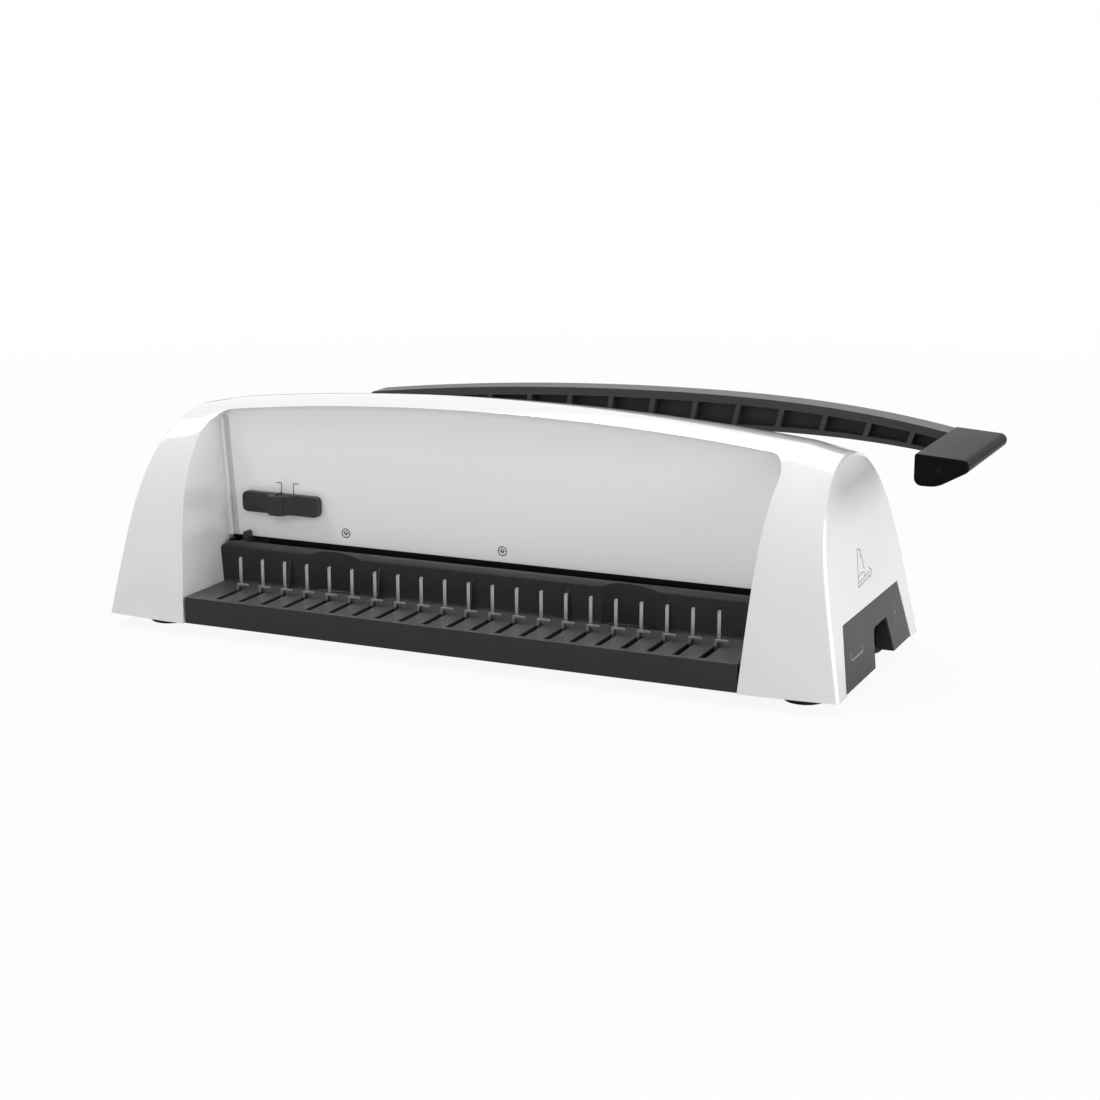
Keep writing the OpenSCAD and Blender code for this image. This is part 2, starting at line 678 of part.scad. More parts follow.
// ---- shaft and its bearings ----
module bearing_ear(y) {
    foot = [min(-pivot_x - 18, -frame_in - frame_t - 13), -frame_in - frame_t];
    difference() {
        along_y(y[0], y[1]) polygon([[foot[0], base_t], [foot[1], base_t], [foot[1], 38.5],
            [-pivot_x + 13, 50], [-pivot_x + 13, pivot_z + 2], [-pivot_x + 6, pivot_z + shaft_r + 3],
            [-pivot_x - 6, pivot_z + shaft_r + 3], [foot[0], pivot_z - 8]]);
        along_y(y[0] - 1, y[1] + 1) translate([-pivot_x, pivot_z]) circle(r = shaft_r);
    }
}
module front_bearing_plate() {
    color("silver") in_frame() bearing_ear(ear_front);
}
module rear_bearing_plate() {
    color("silver") in_frame() bearing_ear(ear_back);
}
module pivot_shaft() {
    color("silver") in_frame() translate([-pivot_x, ear_back[1] + 2.5, pivot_z]) rotate([90, 0, 0])
        cylinder(r = shaft_r, h = ear_back[1] - ear_front[0] + 5);
}
module spacer_tube() {
    color("silver") in_frame() tube(ear_front[1], gear_y[0] - slide_gap, shaft_r, shaft_r + 2.5);
}
module thrust_washer() {
    color("silver") in_frame() tube(arm_back + slide_gap, ear_back[0], shaft_r, shaft_r + 2.2);
}
module shaft_clips() {
    color("silver") in_frame() for (y = [ear_front[0] - 1.2, ear_back[1]])
        tube(y, y + 1.2, shaft_r, shaft_r + 2.5);
}
module handle_bumper() {
    x = 60;
    color([0.1, 0.1, 0.1]) in_frame()
        along_y(channel_y + 2, channel_y + 11)
            polygon([[x - 7, arm_low(x - 7) - channel_gap + 0.02],
                [x + 7, arm_low(x + 7) - channel_gap + 0.02],
                [x + 7, arm_low(x + 7) - slide_gap - 0.1],
                [x - 7, arm_low(x - 7) - slide_gap - 0.1]]);
}

// ---- moving punches ----
module punch_bar() {
    color("silver") in_frame() difference() {
        union() {
            block([-bar_half, bar_half], bar_y, bar_z);
            for (x = follower_x)
                block([x - 7, x + 7], [bar_y[1] - eps, follower_y + 5.5], [33, cam_z[0] - slide_gap]);
        }
        punch_holes([bar_y[0] - 1, bar_y[0] + 3], punch_w - 0.6, punch_h - 0.6);
        for (s = [-1, 1]) translate([s * rod_x, bar_y[0] - 1, rod_z]) rotate([-90, 0, 0])
            cylinder(r = rod_r + run_gap, h = bar_y[1] - bar_y[0] + 2);
    }
}
module punch_pins() {
    color("silver") in_frame()
        punch_holes([die_y[0] - 1.6, bar_y[0] + 3], punch_w - 0.6, punch_h - 0.6);
}
module punch_followers() {
    color("silver") in_frame() for (x = follower_x)
        translate([x, follower_y, cam_z[0] - slide_gap])
            cylinder(r = follower_r, h = cam_z[1] - cam_z[0] + 2 * slide_gap);
}

// ---- comb opener ----
module hook_plate() {
    left = hook_drive[0] - arm_half;
    color("silver") in_frame() union() {
        block([left, bar_half], [hook_y[0] - 1.6, -36], plate_z);
        block([left, hook_drive[0] + arm_half], [hook_y[0] - 1.6, hook_drive[1] + 5], plate_z);
    }
}
module hooks() {
    elbow = deck_z + hook_rise;
    color("silver") in_frame() for (x = tine_xs) translate([x + hook_x, 0, 0]) {
        block([-hook_w / 2, hook_w / 2], hook_y, [plate_z[1], elbow]);
        block([-hook_w / 2, hook_len - hook_w / 2], hook_y, [elbow - hook_w / 2, elbow + hook_w / 2]);
        along_y(hook_y[0], hook_y[1]) translate([hook_len - hook_w / 2, elbow]) circle(r = hook_w / 2);
    }
}
module hook_drive_post() {
    color("silver") in_frame()
        block([hook_drive[0] - arm_half, hook_drive[0] + arm_half],
            [hook_drive[1] - 5, hook_drive[1] + 5], [plate_z[1], cam_z[0] - slide_gap]);
}
module hook_follower() {
    color("silver") in_frame() translate([hook_drive[0], hook_drive[1], cam_z[0] - slide_gap])
        cylinder(r = follower_r, h = cam_z[1] - cam_z[0] + 2 * slide_gap);
}
module tine_bar() {
    color("silver") in_frame()
        block([tine_xs[0] - 6, tine_xs[teeth - 1] + 6], [-tine_y - tine_t / 2, -38], [bar_top - 3, bar_top]);
}
module comb_tines() {
    color("silver") in_frame() for (x = tine_xs) {
        block([x - tine_w / 2, x + tine_w / 2], [-tine_y - tine_t / 2, -tine_y + tine_t / 2],
            [bar_top, tine_top - tine_w / 2]);
        along_y(-tine_y - tine_t / 2, -tine_y + tine_t / 2)
            translate([x, tine_top - tine_w / 2]) circle(r = tine_w / 2);
    }
}

// ---- selector and edge guide ----
module selector_knob() {
    face = -panel_y - slide_gap;
    r = 3;
    color([0.2, 0.2, 0.2]) in_frame() union() {
        along_y(face - 4, face) translate([knob_x, knob_z]) union() {
            square([knob_w - 2 * r, knob_h], center = true);
            square([knob_w, knob_h - 2 * r], center = true);
            for (sx = [-1, 1], sz = [-1, 1])
                translate([sx * (knob_w / 2 - r), sz * (knob_h / 2 - r)]) circle(r = r);
        }
        // raised grip across the plate
        translate([ridge_x, 0, knob_z - knob_h / 2]) linear_extrude(knob_h)
            polygon([[-7.5, face - 4 + eps], [-4.5, face - 10], [3.5, face - 10], [7.5, face - 4 + eps]]);
        block(stem_x, [face - eps, link_y[0]], stem_z);
    }
}
module selector_link() {
    foot = [guide_z - 3.2, guide_z];
    color([0.2, 0.2, 0.2]) in_frame() union() {
        block([guide_x[0], stem_x[1]], link_y, [foot[0], stem_z[1]]);
        block(guide_x, [foot_front, link_y[0] + eps], foot);
    }
}
module edge_guide() {
    color([0.2, 0.2, 0.2]) in_frame() union() {
        block(guide_x, peg_y, [guide_z, guide_z + 3.2]);
        translate([(guide_x[0] + guide_x[1]) / 2, 0, guide_z + 3.2]) along_y(peg_y[0], peg_y[1])
            intersection() {
                circle(r = (guide_x[1] - guide_x[0]) / 2);
                translate([-5, 0]) square([10, 5]);
            }
    }
}

outer_cover();
front_panel();
comb_tray();
base_plate();
feet();
cover_screws();
left_frame();
right_frame();
die_plate();
stripper_plate();
paper_stop();
chip_chute();
guide_rods();
slide_beam();
guide_studs();
tine_bar();
comb_tines();
front_bearing_plate();
rear_bearing_plate();
pivot_shaft();
spacer_tube();
thrust_washer();
shaft_clips();
handle_bumper();
handle_arm();
sector_gear();
hub_bush();
handle_grip();
grip_screw();
cam_plate();
rack();
punch_bar();
punch_pins();
punch_followers();
hook_plate();
hooks();
hook_drive_post();
hook_follower();
chip_tray();
chip_tray_panel();
selector_knob();
selector_link();
edge_guide();
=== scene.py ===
"""Comb binding machine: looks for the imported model, in the same frame, in metres.

Sections follow the machine as it is put together. Lengths inside them are in millimetres, from the
middle of the body and up from its bottom; mm() turns such a place into the frame's metres.
"""
import math

import bmesh
import bpy
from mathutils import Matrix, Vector


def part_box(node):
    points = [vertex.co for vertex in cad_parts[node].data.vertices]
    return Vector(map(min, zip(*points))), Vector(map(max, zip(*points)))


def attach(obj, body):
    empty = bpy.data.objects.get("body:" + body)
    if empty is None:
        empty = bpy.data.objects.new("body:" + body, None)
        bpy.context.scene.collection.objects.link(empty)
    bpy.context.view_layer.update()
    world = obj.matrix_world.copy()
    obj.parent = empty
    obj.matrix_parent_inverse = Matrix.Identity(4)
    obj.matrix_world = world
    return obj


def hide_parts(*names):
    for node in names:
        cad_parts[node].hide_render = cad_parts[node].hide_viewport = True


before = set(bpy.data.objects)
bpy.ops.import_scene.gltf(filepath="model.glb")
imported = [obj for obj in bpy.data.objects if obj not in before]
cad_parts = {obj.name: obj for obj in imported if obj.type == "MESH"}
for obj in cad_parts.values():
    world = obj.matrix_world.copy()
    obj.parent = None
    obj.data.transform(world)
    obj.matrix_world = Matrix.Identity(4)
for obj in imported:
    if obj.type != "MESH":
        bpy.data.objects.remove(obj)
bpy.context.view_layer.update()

# ---- Camera ----
# A long lens from the front, a little to the right and above, as a product is set up in a studio.
# The picture is square, and the lens is given for a 36 mm sensor.
camera_place = (0.4789, -1.0661, 0.3279)
camera_turn = 24.14
camera_down = 13.35
camera_data = bpy.data.cameras.new("camera")
camera_data.lens = 71.35
camera_data.sensor_width = 36
camera = bpy.data.objects.new("camera", camera_data)
bpy.context.scene.collection.objects.link(camera)
camera.location = camera_place
camera.rotation_euler = (math.radians(90 - camera_down), 0, math.radians(camera_turn))
bpy.context.scene.camera = camera

# ---- Outer cover ----
# One large moulding of glossy white ABS, arched along its length and bell shaped across it, with the
# front recess, the lever's channel at the back and the drawer's mouth cut through. Four screws from
# below hold it to the floor.
body_shift = (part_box("outer_cover")[0].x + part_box("outer_cover")[1].x) / 2
floor_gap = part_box("outer_cover")[0].z
half_w = (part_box("outer_cover")[1].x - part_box("outer_cover")[0].x) / 2 * 1000
half_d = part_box("outer_cover")[1].y * 1000
cover_h = (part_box("outer_cover")[1].z - floor_gap) * 1000
arch_drop = 0.00033
end_lean = 0.187
cover_wall = 2.6
bell_side = 0.145
bell_power = 4.7
bell_flat = 4.3
arch_end = half_w - 39.8
crease_level = 108
crease_step = 1.8
crease_h = cover_h - arch_drop * (half_w - end_lean * crease_level) ** 2 - crease_step
end_set_in = 3.3
lean_run = 42


def mm(x, y, z):
    """A place in millimetres from the body's middle, as metres in the frame."""
    return Vector((x / 1000 + body_shift, y / 1000, z / 1000 + floor_gap))


def ridge(x):
    return cover_h - arch_drop * x * x


def front_power(x):
    return bell_power + bell_flat * max(0, 1 - (x / 170) ** 2)


def bell(z, height, depth, power):
    return (depth - bell_side * z) * math.sqrt(max(0, 1 - (z / height) ** power))


def station(x):
    """Ridge height, bottom half depth and front power of the body at x."""
    over = max(0, abs(x) - arch_end) / (half_w - arch_end)
    top = ridge(min(abs(x), arch_end))
    return top + (crease_h - top) * over, half_d - end_set_in * over, front_power(x)


def body_mesh(inset, crease_r=2.4, columns=60, rows=24):
    """The closed outer form, set in by a wall's thickness, as rings of bells with rounded ends."""
    reach = half_w - inset
    steps = [i / columns for i in range(-columns, columns + 1)]
    middle = [math.copysign(abs(t) ** 0.8, t) * (reach - crease_r) for t in steps]
    turns = [math.radians(15 * k) for k in range(1, 7)]
    ends = [(reach - crease_r + crease_r * math.sin(t), crease_r * (1 - math.cos(t))) for t in turns]
    places = [(-x, r) for x, r in reversed(ends)] + [(x, 0) for x in middle] + ends
    bm = bmesh.new()
    rings = []
    for x0, round_in in places:
        top, deep, power = station(x0 * half_w / reach)
        top -= inset + round_in
        deep -= inset + round_in
        share = min(1, max(0, (abs(x0) - (reach - lean_run)) / lean_run))
        sides = [(-1, power, k) for k in range(rows + 1)]
        sides += [(1, bell_power, k) for k in range(rows - 1, -1, -1)]
        ring = []
        for side, p, k in sides:
            z = top * math.sin(math.pi / 2 * k / rows)
            x = x0 - math.copysign(end_lean * z * share, x0)
            ring.append(bm.verts.new(mm(x, side * bell(z, top, deep, p), z)))
        rings.append(ring)
    for a, b in zip(rings, rings[1:]):
        for k in range(len(a)):
            n = (k + 1) % len(a)
            bm.faces.new((a[k], a[n], b[n], b[k]))
    for ring, way in ((rings[0], 1), (rings[-1], -1)):
        # a narrow rim in the same plane keeps the flat end free of the rounding's shading
        middle = sum((v.co for v in ring), Vector()) / len(ring)
        rim = [bm.verts.new(v.co.lerp(middle, 0.02)) for v in ring]
        for k in range(len(ring)):
            n = (k + 1) % len(ring)
            bm.faces.new((ring[k], rim[k], rim[n], ring[n]))
        bm.faces.new(rim)
    bmesh.ops.recalc_face_normals(bm, faces=bm.faces)
    return bm


def piece(name, bm):
    """A named object from a mesh in progress."""
    mesh = bpy.data.meshes.new(name)
    bm.to_mesh(mesh)
    bm.free()
    made = bpy.data.objects.new(name, mesh)
    bpy.context.scene.collection.objects.link(made)
    return made


def prism(name, outline, along, low, high):
    """An outline pushed through from low to high: (x, z) along y, (y, z) along x, or (x, y) along z."""
    place = {"y": lambda p, t: mm(p[0], t, p[1]), "x": lambda p, t: mm(t, p[0], p[1]),
             "z": lambda p, t: mm(p[0], p[1], t)}[along]
    bm = bmesh.new()
    for cell in outline if isinstance(outline[0][0], (tuple, list)) else [outline]:
        near = [bm.verts.new(place(p, low)) for p in cell]
        far = [bm.verts.new(place(p, high)) for p in cell]
        bm.faces.new(near)
        bm.faces.new(list(reversed(far)))
        for k in range(len(near)):
            n = (k + 1) % len(near)
            bm.faces.new((near[n], near[k], far[k], far[n]))
    bmesh.ops.recalc_face_normals(bm, faces=bm.faces)
    return piece(name, bm)


def rect(a0, a1, b0, b1):
    return [(a0, b0), (a1, b0), (a1, b1), (a0, b1)]


def carve(body, tool, how="DIFFERENCE"):
    """Cuts a tool out of a body, or joins it on, and throws the tool away."""
    step = body.modifiers.new("carve", "BOOLEAN")
    step.operation = how
    step.solver = "EXACT"
    step.use_self = how == "UNION"
    step.object = tool
    shaped = body.evaluated_get(bpy.context.evaluated_depsgraph_get())
    mesh = bpy.data.meshes.new_from_object(shaped)
    body.modifiers.clear()
    old = body.data
    body.data = mesh
    bpy.data.meshes.remove(old)
    bpy.data.meshes.remove(tool.data)
    return body


def soften(body, radius, segments=2, angle=32, merge=0.0):
    """Rounds the edges as a mould does, and shades the large faces smooth."""
    bm = bmesh.new()
    bm.from_mesh(body.data)
    if merge:
        bmesh.ops.remove_doubles(bm, verts=bm.verts, dist=merge / 1000)
        bmesh.ops.dissolve_degenerate(bm, edges=bm.edges, dist=merge / 2000)
    for f in bm.faces:
        f.smooth = True
    for e in bm.edges:
        e.smooth = not e.is_manifold or e.calc_face_angle(0) < math.radians(angle)
    bm.to_mesh(body.data)
    bm.free()
    edge = body.modifiers.new("edges", "BEVEL")
    edge.width = radius / 1000
    edge.segments = segments
    edge.limit_method = "ANGLE"
    edge.angle_limit = math.radians(angle)
    edge.harden_normals = True
    edge.use_clamp_overlap = True
    return body


recess_w = 163.1
panel_y = 20.6
recess_lean = 0.065
recess_h = 112
recess_side = recess_w + recess_lean * recess_h
recess_corner = 9


def front_z(x, u):
    """Height at which the front of the body lies u in front of the middle."""
    top, deep, power = station(x)
    low, high = 0, top
    for _ in range(24):
        z = (low + high) / 2
        low, high = (z, high) if bell(z, top, deep, power) > u else (low, z)
    return low


def recess_top(x):
    over = max(0, abs(x) - (recess_side - recess_corner))
    drop = recess_corner - math.sqrt(max(0, recess_corner**2 - over**2))
    return front_z(min(abs(x), recess_side - 1), panel_y) - 1 - drop


def recess_outline(grow, bottom, steps=48):
    """The recess seen from the front: leaning sides, rounded corners and a top that follows the arch."""
    low_w = recess_w + (recess_side - recess_w) * bottom / recess_top(recess_side) + grow
    xs = [recess_side * math.sin(math.pi / 2 * i / steps) for i in range(-steps, steps + 1)]
    arch = [(x * (1 + grow / recess_side), recess_top(x) + grow) for x in xs]
    return [(-low_w, bottom)] + arch + [(low_w, bottom)]


arm_y = 31.7
arm_back = 47.7
arm_end = 237.5
arm_peak = 131.09
arm_peak_x = 95
arm_bend = 0.00032
arm_bend_end = 0.0000017
arm_deep = 13
arm_taper = 0.049
taper_end = arm_end - 14


def arm_top(x):
    return arm_peak - arm_bend * (x - arm_peak_x) ** 2 - arm_bend_end * max(0, x - arm_peak_x) ** 3


def arm_low(x):
    return arm_top(x) - arm_deep - arm_taper * max(0, taper_end - x)


channel_left = -185
channel_right = 165
channel_open = 165
channel_gap = 2.5
channel_play = 1.5
well_right = -97
well_floor = 40


def channel_outline(grow):
    """The lever's channel seen from the back: its floor runs a little under the arm."""
    left = channel_left - grow
    xs = [well_right + (channel_right - well_right) * i / 24 for i in range(25)]
    bottom = [(x, arm_low(x) - channel_gap - grow) for x in xs]
    return [(left, bottom[0][1])] + bottom + [(channel_right, channel_open), (left, channel_open)]


cover = piece("outer_cover_shell", body_mesh(0))
hollow = piece("hollow", body_mesh(cover_wall))
carve(hollow, prism("wall", recess_outline(cover_wall, -cover_wall), "y", -half_d - 9, -panel_y + 2))
carve(hollow, prism("wall", channel_outline(cover_wall), "y", arm_y - channel_play - cover_wall, half_d + 9))
carve(cover, hollow)
carve(cover, prism("open_floor", rect(-half_w + 3, half_w - 3, -half_d + 6, half_d - 6), "z", -1, 1.5))
carve(cover, prism("recess", recess_outline(0, -2), "y", -half_d - 9, -panel_y + 2))
carve(cover, prism("channel", channel_outline(0), "y", arm_y - channel_play, half_d + 9))
well = rect(channel_left, well_right, arm_y - channel_play, arm_back + channel_play)
carve(cover, prism("well", well, "z", well_floor, channel_open))
mouth_h = 33.5
mouth_half = 61.3
end_slope = 0.318
mouth_top = mouth_half - end_slope * mouth_h
mouth = [(-mouth_half, -1), (mouth_half, -1), (mouth_top, mouth_h), (-mouth_top, mouth_h)]
carve(cover, prism("mouth", mouth, "x", half_w - 14, half_w + 5))
soften(cover, 1.0, 3, 28, merge=0.15)
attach(cover, "machine")
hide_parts("outer_cover")


def corner_bar(s, near, far, z0, z1):
    """The outline of a bar along one recess corner, between two distances from the leaning side."""
    low_w, high_w = (recess_w + (recess_side - recess_w) * z / recess_top(recess_side) for z in (z0, z1))
    return [(s * (low_w - near), z0), (s * (low_w - far), z0),
            (s * (high_w - far), z1), (s * (high_w - near), z1)]


# a bead runs down each corner of the recess, against the panel
beads = piece("recess_beads", bmesh.new())
for s in (-1, 1):
    carve(beads, prism("bead", corner_bar(s, -0.4, 2.4, 39, 107.5), "y", -panel_y - 2.6, -panel_y), "UNION")
soften(beads, 0.8, 4, 28)
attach(beads, "machine")


def new_group(name, inputs, outputs):
    """An empty shader group with its sockets. Each is (name, kind, start value)."""
    group = bpy.data.node_groups.new(name, "ShaderNodeTree")
    for label, kind, value in inputs:
        made = group.interface.new_socket(label, in_out="INPUT", socket_type="NodeSocket" + kind)
        made.default_value = value
    for label, kind in outputs:
        group.interface.new_socket(label, in_out="OUTPUT", socket_type="NodeSocket" + kind)
    group.nodes.new("NodeGroupInput").name = "in"
    group.nodes.new("NodeGroupOutput").name = "out"
    return group


def add(tree, kind, links=None, **values):
    """A node with its settings, and links from (node, socket) to its own named or numbered sockets."""
    node = tree.nodes.new("ShaderNode" + kind)
    for label, value in values.items():
        setattr(node, label, value)
    for label, source in (links or {}).items():
        if isinstance(source, tuple) and isinstance(source[0], bpy.types.Node):
            tree.links.new(source[0].outputs[source[1]], node.inputs[label])
        else:
            node.inputs[label].default_value = source
    return node


# A group for the faint grain that a textured mould leaves: fine bumps, and slow changes of shade and
# gloss over the surface. Every moulded piece uses it with its own size and strength.
grain = new_group(
    "moulded_grain",
    [("Colour", "Color", (0.5, 0.5, 0.5, 1)), ("Grain size", "Float", 900), ("Shade change", "Float", 0.03),
     ("Roughness", "Float", 0.4), ("Gloss change", "Float", 0.05)],
    [("Colour", "Color"), ("Roughness", "Float"), ("Height", "Float")])
g_in, g_out = grain.nodes["in"], grain.nodes["out"]
g_place = add(grain, "TexCoord")
g_fine = add(grain, "TexNoise", {"Vector": (g_place, "Object"), "Scale": (g_in, "Grain size"),
                                 "Detail": 3, "Roughness": 0.6})
g_slow = add(grain, "TexNoise", {"Vector": (g_place, "Object"), "Scale": 22, "Detail": 4, "Roughness": 0.65})
g_swing = add(grain, "Math", {0: (g_slow, 0), 1: 0.5}, operation="SUBTRACT")
g_shade = add(grain, "Math", {0: (g_swing, 0), 1: (g_in, "Shade change"), 2: 1}, operation="MULTIPLY_ADD")
g_colour = add(grain, "VectorMath", {0: (g_in, "Colour"), "Scale": (g_shade, 0)}, operation="SCALE")
g_gloss = add(grain, "Math", {0: (g_swing, 0), 1: (g_in, "Gloss change"), 2: (g_in, "Roughness")},
              operation="MULTIPLY_ADD")
grain.links.new(g_colour.outputs[0], g_out.inputs["Colour"])
grain.links.new(g_gloss.outputs[0], g_out.inputs["Roughness"])
grain.links.new(g_fine.outputs[0], g_out.inputs["Height"])

# A group for edges that handling has polished, and for painted highlights along edges and inner fillets: a
# mask that is strong only where a face turns sharply, at inner corners as well as outer ones.
wear_and_highlight_edges = new_group(
    "edge_wear_and_painted_highlight", [("Reach", "Float", 0.0006), ("Strength", "Float", 0.5)], [("Mask", "Float")])
r_in, r_out = wear_and_highlight_edges.nodes["in"], wear_and_highlight_edges.nodes["out"]
r_round = add(wear_and_highlight_edges, "Bevel", {"Radius": (r_in, "Reach")}, samples=4)
r_face = add(wear_and_highlight_edges, "NewGeometry")
r_same = add(wear_and_highlight_edges, "VectorMath", {0: (r_round, 0), 1: (r_face, "Normal")}, operation="DOT_PRODUCT")
r_edge = add(wear_and_highlight_edges, "MapRange", {"Value": (r_same, "Value"), "From Min": 0.995, "From Max": 0.85})
r_place = add(wear_and_highlight_edges, "TexCoord")
r_patch = add(wear_and_highlight_edges, "TexNoise", {"Vector": (r_place, "Object"), "Scale": 120, "Detail": 5})
r_some = add(wear_and_highlight_edges, "MapRange", {"Value": (r_patch, 0), "From Min": 0.35, "From Max": 0.65, "To Min": 0.3})
r_mix = add(wear_and_highlight_edges, "Math", {0: (r_edge, 0), 1: (r_some, 0)}, operation="MULTIPLY")
r_mask = add(wear_and_highlight_edges, "Math", {0: (r_mix, 0), 1: (r_in, "Strength")}, operation="MULTIPLY")
wear_and_highlight_edges.links.new(r_mask.outputs[0], r_out.inputs["Mask"])

# A group for painted top light on faces that look up: a lighter layer that stands in for the light from
# above, in a mask that thins out in patches.
painted_top_light = new_group("painted_top_light_mask", [("Amount", "Float", 0.5)], [("Mask", "Float")])
d_in, d_out = painted_top_light.nodes["in"], painted_top_light.nodes["out"]
d_place = add(painted_top_light, "TexCoord")
d_axes = add(painted_top_light, "SeparateXYZ", {0: (d_place, "Normal")})
d_up = add(painted_top_light, "MapRange", {"Value": (d_axes, 2), "From Min": 0.8, "From Max": 0.98})
d_cloud = add(painted_top_light, "TexNoise", {"Vector": (d_place, "Object"), "Scale": 38, "Detail": 5})
d_thin = add(painted_top_light, "MapRange", {"Value": (d_cloud, 0), "From Min": 0.3, "From Max": 0.6, "To Min": 0.75})
d_mix = add(painted_top_light, "Math", {0: (d_up, 0), 1: (d_thin, 0)}, operation="MULTIPLY")
d_mask = add(painted_top_light, "Math", {0: (d_mix, 0), 1: (d_in, "Amount")}, operation="MULTIPLY")
painted_top_light.links.new(d_mask.outputs[0], d_out.inputs["Mask"])


def laid_over(tree, group, label, amount, colour, under):
    """A colour laid over another by a group's mask, as far as the amount says."""
    mask = add(tree, "Group", node_tree=group)
    mask.inputs[label].default_value = amount
    mix = add(tree, "Mix", data_type="RGBA")
    mix.inputs[7].default_value = (*colour, 1)
    tree.links.new(mask.outputs["Mask"], mix.inputs[0])
    tree.links.new(under, mix.inputs[6])
    return mix.outputs[2]


def grained(tree, colour, grain_size, shade, roughness, gloss):
    """The mould's grain, placed in a material with its own values."""
    skin = add(tree, "Group", node_tree=grain)
    skin.inputs["Colour"].default_value = (*colour, 1)
    skin.inputs["Grain size"].default_value = grain_size
    skin.inputs["Shade change"].default_value = shade
    skin.inputs["Roughness"].default_value = roughness
    skin.inputs["Gloss change"].default_value = gloss
    return skin


# the colour of the painted top light laid on faces that look up
painted_top_light_colour = (0.32, 0.31, 0.3)


def plastic(name, colour, roughness, grain_size=900, bump=0.02, shade=0.03, gloss=0.05,
            wear_and_highlight=0.0, wear_and_highlight_colour=(0.3, 0.3, 0.3), coat=0.0, level=0.5, top_light=0.0):
    """A moulded plastic with its grain, on dark pieces edges lightened by wear and by painted highlights, and
    faces that look up lightened by painted top light.
    """
    material = bpy.data.materials.new(name)
    material.use_nodes = True
    tree = material.node_tree
    surface = tree.nodes["Principled BSDF"]
    surface.inputs["Specular IOR Level"].default_value = level
    surface.inputs["Coat Weight"].default_value = coat
    surface.inputs["Coat Roughness"].default_value = 0.05
    skin = grained(tree, colour, grain_size, shade, roughness, gloss)
    shade_out = skin.outputs["Colour"]
    # edges lightened by wear and by painted highlights, on outer edges and inner fillets alike
    if wear_and_highlight:
        shade_out = laid_over(tree, wear_and_highlight_edges, "Strength", wear_and_highlight, wear_and_highlight_colour, shade_out)
    # painted top light: faces that look up are lightened as if lit from above
    if top_light:
        shade_out = laid_over(tree, painted_top_light, "Amount", top_light, painted_top_light_colour, shade_out)
    tree.links.new(shade_out, surface.inputs["Base Color"])
    tree.links.new(skin.outputs["Roughness"], surface.inputs["Roughness"])
    relief = add(tree, "Bump", {"Height": (skin, "Height"), "Strength": bump, "Distance": 0.0002})
    tree.links.new(relief.outputs[0], surface.inputs["Normal"])
    return material


def finish_with(made, material):
    """Gives the whole piece one finish."""
    made.data.materials.clear()
    made.data.materials.append(material)
    return made


gloss_white = plastic("gloss_white_shell", (0.75, 0.75, 0.75), 0.14, 500, 0.01, 0.012, 0.03, coat=1.0)
finish_with(cover, gloss_white)
finish_with(beads, gloss_white)

# ---- Front panel ----
# A flat moulding of pale grey ABS with a satin face, let into the recess. It carries thin printed
# marks: two leader lines above the selector, and two small rings by the paper slot.
panel_grey = plastic("satin_panel_grey", (0.9, 0.9, 0.9), 0.42, 1400, 0.05, 0.02, 0.05)
finish_with(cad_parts["front_panel"], panel_grey)
ink = plastic("printed_ink", (0.045, 0.045, 0.047), 0.6, 1500, 0.03, 0.1, 0.05)
ink_lift = 0.06


def printed(name, outlines):
    """Ink a few hundredths thick on the panel's face."""
    made = prism(name, outlines, "y", -panel_y - ink_lift, -panel_y + 0.02)
    finish_with(made, ink)
    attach(made, "machine")
    return made


def line(x0, z0, x1, z1, w=0.45):
    return rect(min(x0, x1) - w / 2, max(x0, x1) + w / 2, min(z0, z1) - w / 2, max(z0, z1) + w / 2)


left_leader = [line(-131.8, 66.6, -131.8, 72.0), line(-131.8, 72.0, -134.8, 72.0)]
right_leader = [line(-123.9, 66.3, -123.9, 72.2), line(-123.9, 72.2, -120.6, 72.2)]
printed("selector_lines", left_leader + right_leader)


def ring(x, z, r, w, turns=28):
    """A printed ring as a fan of thin cells."""
    cells = []
    for k in range(turns):
        a, b = (2 * math.pi * (k + d) / turns for d in (0, 1.02))
        corners = ((r, a), (r, b), (r - w, b), (r - w, a))
        cells.append([(x + q * math.cos(t), z + q * math.sin(t)) for q, t in corners])
    return cells


def stroke(points, w):
    """A printed line through some points, w wide."""
    cells = []
    for (x0, z0), (x1, z1) in zip(points, points[1:]):
        long = math.hypot(x1 - x0, z1 - z0)
        nx, nz = -(z1 - z0) / long * w / 2, (x1 - x0) / long * w / 2
        cells.append([(x0 + nx, z0 + nz), (x0 - nx, z0 - nz), (x1 - nx, z1 - nz), (x1 + nx, z1 + nz)])
    return cells


ring_places = {"left": (-90.5, 46.5), "right": (7, 45.6)}
for where, (x, z) in ring_places.items():
    sheet = stroke([(x - 1.5, z + 0.5), (x, z - 1.1), (x + 1.5, z + 0.5)], 0.5)
    printed("panel_ring_" + where, ring(x, z, 2.75, 0.55) + ring(x, z + 0.5, 1.0, 0.4, 14) + sheet)

# painted shade: a darker grey strip beside each bead, a quarter of a millimetre proud of the panel, stands in
# for the shadow where the panel turns back to its frame
painted_shade_grey = plastic("panel_painted_shade", (0.6, 0.6, 0.6), 0.5, 1400, 0.05, 0.02, 0.05)
shade_strip_bars = [corner_bar(s, 2.3, 5.2, 40, 108.5) for s in (-1, 1)]
steps = prism("panel_painted_shade_strips", shade_strip_bars, "y", -panel_y - 0.25, -panel_y)
finish_with(steps, painted_shade_grey)
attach(steps, "machine")

